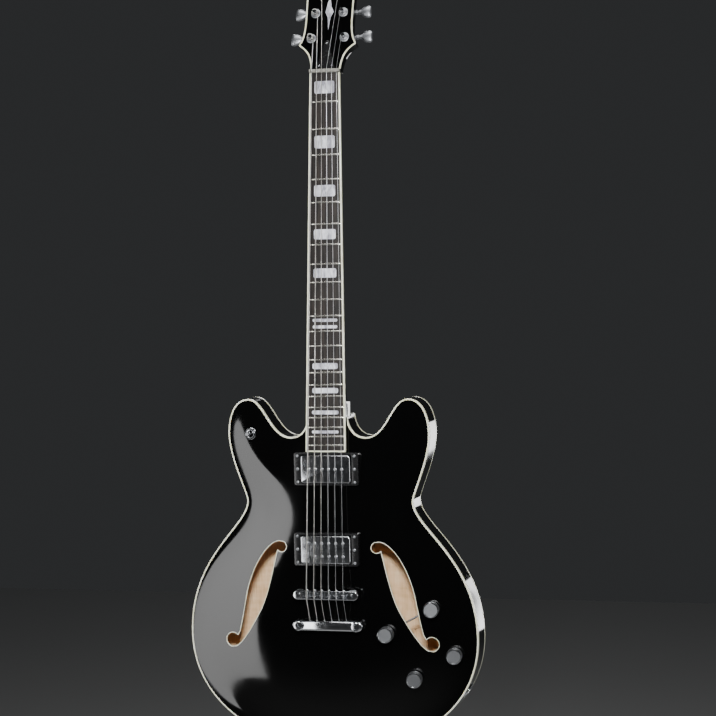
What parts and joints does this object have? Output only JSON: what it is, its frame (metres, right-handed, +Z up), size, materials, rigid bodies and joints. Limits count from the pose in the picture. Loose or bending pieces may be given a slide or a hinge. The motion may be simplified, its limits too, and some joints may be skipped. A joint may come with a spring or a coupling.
{
  "type": "electric guitar",
  "caption": "Semi-hollow double-cutaway electric guitar of baritone scale, with f-holes, covered pickups, a saddle bridge, stop tailpiece and worm tuners",
  "frame": {"origin": "the point where a hanger's yoke holds it: on the centre line, inside the wood just above the nut", "axes": "+Z up along the strings towards the headstock, -Y out of the front, +X towards the treble side"},
  "size_m": [0.412, 0.1364, 1.1182],
  "materials": {
    "black_lacquer": "maple under polished black lacquer, mirror gloss",
    "maple": "bare maple, sawn and sanded",
    "ivory_binding": "aged ivory celluloid, scraped and lacquered",
    "dark_rosewood": "oiled dark rosewood, open pores",
    "bone": "polished bone",
    "black_plastic": "moulded black ABS, satin gloss",
    "pickup_cover": "plated drawn cover, polished",
    "chrome": "polished chrome plate",
    "pot_metal": "stamped and tinned steel with insulated wire",
    "steel": "bright drawn steel",
    "wound_string": "nickel-plated round-wound wire",
    "plain_string": "plain tinned steel wire"
  },
  "bodies": {
    "guitar": {"body_rim": "black_lacquer", "body_top": "black_lacquer", "body_back": "black_lacquer", "center_block": "maple", "top_binding": "ivory_binding", "back_binding": "ivory_binding", "neck": "black_lacquer", "fingerboard": "dark_rosewood", "nut": "bone", "truss_rod": "steel", "truss_rod_cover": "black_plastic", "string_1": "wound_string", "string_2": "wound_string", "string_3": "wound_string", "string_4": "plain_string", "string_5": "plain_string", "string_6": "plain_string", "tuner_housing_bass_1": "chrome", "tuner_housing_bass_2": "chrome", "tuner_housing_bass_3": "chrome", "tuner_housing_treble_1": "chrome", "tuner_housing_treble_2": "chrome", "tuner_housing_treble_3": "chrome", "pickup_ring_neck": "black_plastic", "pickup_ring_bridge": "black_plastic", "tailpiece": "chrome", "tailpiece_stud_bass": "chrome", "tailpiece_stud_treble": "chrome", "wiring_harness": "pot_metal", "jack": "chrome", "strap_button_end": "chrome", "strap_button_neck": "chrome"},
    "tuner_button_bass_1": {"tuner_button_bass_1": "chrome"},
    "tuner_post_bass_1": {"tuner_post_bass_1": "chrome"},
    "tuner_button_bass_2": {"tuner_button_bass_2": "chrome"},
    "tuner_post_bass_2": {"tuner_post_bass_2": "chrome"},
    "tuner_button_bass_3": {"tuner_button_bass_3": "chrome"},
    "tuner_post_bass_3": {"tuner_post_bass_3": "chrome"},
    "tuner_button_treble_1": {"tuner_button_treble_1": "chrome"},
    "tuner_post_treble_1": {"tuner_post_treble_1": "chrome"},
    "tuner_button_treble_2": {"tuner_button_treble_2": "chrome"},
    "tuner_post_treble_2": {"tuner_post_treble_2": "chrome"},
    "tuner_button_treble_3": {"tuner_button_treble_3": "chrome"},
    "tuner_post_treble_3": {"tuner_post_treble_3": "chrome"},
    "pickup_neck": {"pickup_neck": "pickup_cover"},
    "pickup_bridge": {"pickup_bridge": "pickup_cover"},
    "bridge": {"bridge_body": "chrome"},
    "bridge_stud_bass": {"bridge_stud_bass": "chrome"},
    "bridge_stud_treble": {"bridge_stud_treble": "chrome"},
    "saddle_1": {"saddle_1": "chrome"},
    "saddle_2": {"saddle_2": "chrome"},
    "saddle_3": {"saddle_3": "chrome"},
    "saddle_4": {"saddle_4": "chrome"},
    "saddle_5": {"saddle_5": "chrome"},
    "saddle_6": {"saddle_6": "chrome"},
    "knob_neck_volume": {"knob_neck_volume": "chrome"},
    "knob_bridge_volume": {"knob_bridge_volume": "chrome"},
    "knob_neck_tone": {"knob_neck_tone": "chrome"},
    "knob_bridge_tone": {"knob_bridge_tone": "chrome"},
    "switch_lever": {"switch_lever": "chrome"}
  },
  "joints": [
    {"name": "tuner_button_bass_1_turn", "type": "hinge", "parent": "guitar", "child": "tuner_button_bass_1", "pos_m": [-0.0237, 0.03027, 0.03689], "axis": [-1, 0, 0], "continuous": true},
    {"name": "tuner_post_bass_1_turn", "type": "hinge", "parent": "guitar", "child": "tuner_post_bass_1", "pos_m": [-0.0237, 0.00914, 0.03612], "axis": [0, -0.9489, 0.3156], "continuous": true},
    {"name": "tuner_button_bass_2_turn", "type": "hinge", "parent": "guitar", "child": "tuner_button_bass_2", "pos_m": [-0.0198, 0.04201, 0.07219], "axis": [-1, 0, 0], "continuous": true},
    {"name": "tuner_post_bass_2_turn", "type": "hinge", "parent": "guitar", "child": "tuner_post_bass_2", "pos_m": [-0.0198, 0.02088, 0.07141], "axis": [0, -0.9489, 0.3156], "continuous": true},
    {"name": "tuner_button_bass_3_turn", "type": "hinge", "parent": "guitar", "child": "tuner_button_bass_3", "pos_m": [-0.016, 0.05353, 0.10682], "axis": [-1, 0, 0], "continuous": true},
    {"name": "tuner_post_bass_3_turn", "type": "hinge", "parent": "guitar", "child": "tuner_post_bass_3", "pos_m": [-0.016, 0.03241, 0.10605], "axis": [0, -0.9489, 0.3156], "continuous": true},
    {"name": "tuner_button_treble_1_turn", "type": "hinge", "parent": "guitar", "child": "tuner_button_treble_1", "pos_m": [0.0237, 0.03027, 0.03689], "axis": [1, 0, 0], "continuous": true},
    {"name": "tuner_post_treble_1_turn", "type": "hinge", "parent": "guitar", "child": "tuner_post_treble_1", "pos_m": [0.0237, 0.00914, 0.03612], "axis": [0, -0.9489, 0.3156], "continuous": true},
    {"name": "tuner_button_treble_2_turn", "type": "hinge", "parent": "guitar", "child": "tuner_button_treble_2", "pos_m": [0.0198, 0.04201, 0.07219], "axis": [1, 0, 0], "continuous": true},
    {"name": "tuner_post_treble_2_turn", "type": "hinge", "parent": "guitar", "child": "tuner_post_treble_2", "pos_m": [0.0198, 0.02088, 0.07141], "axis": [0, -0.9489, 0.3156], "continuous": true},
    {"name": "tuner_button_treble_3_turn", "type": "hinge", "parent": "guitar", "child": "tuner_button_treble_3", "pos_m": [0.016, 0.05353, 0.10682], "axis": [1, 0, 0], "continuous": true},
    {"name": "tuner_post_treble_3_turn", "type": "hinge", "parent": "guitar", "child": "tuner_post_treble_3", "pos_m": [0.016, 0.03241, 0.10605], "axis": [0, -0.9489, 0.3156], "continuous": true},
    {"name": "pickup_neck_height", "type": "slide", "parent": "guitar", "child": "pickup_neck", "axis": [0, -1, 0], "range_m": [-0.004, 0.001]},
    {"name": "pickup_bridge_height", "type": "slide", "parent": "guitar", "child": "pickup_bridge", "axis": [0, -1, 0], "range_m": [-0.004, 0.001]},
    {"name": "bridge_height", "type": "slide", "parent": "guitar", "child": "bridge", "axis": [0, -1, 0], "range_m": [-0.002, 0]},
    {"name": "bridge_stud_bass_turn", "type": "hinge", "parent": "bridge", "child": "bridge_stud_bass", "pos_m": [-0.037, -0.058, -0.7275], "axis": [0, -1, 0], "range_deg": [-720, 0]},
    {"name": "bridge_stud_treble_turn", "type": "hinge", "parent": "bridge", "child": "bridge_stud_treble", "pos_m": [0.037, -0.058, -0.7275], "axis": [0, -1, 0], "range_deg": [-720, 0]},
    {"name": "saddle_1_intonation", "type": "slide", "parent": "bridge", "child": "saddle_1", "axis": [0, 0, -1], "range_m": [-0.0039, 0.0009]},
    {"name": "saddle_2_intonation", "type": "slide", "parent": "bridge", "child": "saddle_2", "axis": [0, 0, -1], "range_m": [-0.0031, 0.0017]},
    {"name": "saddle_3_intonation", "type": "slide", "parent": "bridge", "child": "saddle_3", "axis": [0, 0, -1], "range_m": [-0.0024, 0.0024]},
    {"name": "saddle_4_intonation", "type": "slide", "parent": "bridge", "child": "saddle_4", "axis": [0, 0, -1], "range_m": [-0.0033, 0.0015]},
    {"name": "saddle_5_intonation", "type": "slide", "parent": "bridge", "child": "saddle_5", "axis": [0, 0, -1], "range_m": [-0.0025, 0.0023]},
    {"name": "saddle_6_intonation", "type": "slide", "parent": "bridge", "child": "saddle_6", "axis": [0, 0, -1], "range_m": [-0.0015, 0.0033]},
    {"name": "knob_neck_volume_turn", "type": "hinge", "parent": "guitar", "child": "knob_neck_volume", "pos_m": [0.1433, -0.04384, -0.7466], "axis": [0.1246, -0.9915, 0.0382], "range_deg": [-150, 150]},
    {"name": "knob_bridge_volume_turn", "type": "hinge", "parent": "guitar", "child": "knob_bridge_volume", "pos_m": [0.0809, -0.04925, -0.7811], "axis": [0.0329, -0.9994, -0.0057], "range_deg": [-150, 150]},
    {"name": "knob_neck_tone_turn", "type": "hinge", "parent": "guitar", "child": "knob_neck_tone", "pos_m": [0.1732, -0.04038, -0.8092], "axis": [0.1192, -0.9926, -0.0227], "range_deg": [-150, 150]},
    {"name": "knob_bridge_tone_turn", "type": "hinge", "parent": "guitar", "child": "knob_bridge_tone", "pos_m": [0.1183, -0.04484, -0.8416], "axis": [0.0864, -0.9933, -0.0771], "range_deg": [-150, 150]},
    {"name": "switch_lever_tilt", "type": "hinge", "parent": "guitar", "child": "switch_lever", "pos_m": [-0.11084, -0.03568, -0.5085], "axis": [0.0004, 0.0263, 0.9997], "range_deg": [-14, 14]}
  ],
  "couplings": [
    {"joint": "tuner_post_bass_1_turn", "follows": "tuner_button_bass_1_turn", "ratio": -0.055556},
    {"joint": "tuner_post_bass_2_turn", "follows": "tuner_button_bass_2_turn", "ratio": -0.055556},
    {"joint": "tuner_post_bass_3_turn", "follows": "tuner_button_bass_3_turn", "ratio": -0.055556},
    {"joint": "tuner_post_treble_1_turn", "follows": "tuner_button_treble_1_turn", "ratio": 0.055556},
    {"joint": "tuner_post_treble_2_turn", "follows": "tuner_button_treble_2_turn", "ratio": 0.055556},
    {"joint": "tuner_post_treble_3_turn", "follows": "tuner_button_treble_3_turn", "ratio": 0.055556},
    {"joint": "bridge_stud_bass_turn", "follows": "bridge_height", "rad_per_m": 6283},
    {"joint": "bridge_stud_treble_turn", "follows": "bridge_height", "rad_per_m": 6283}
  ]
}
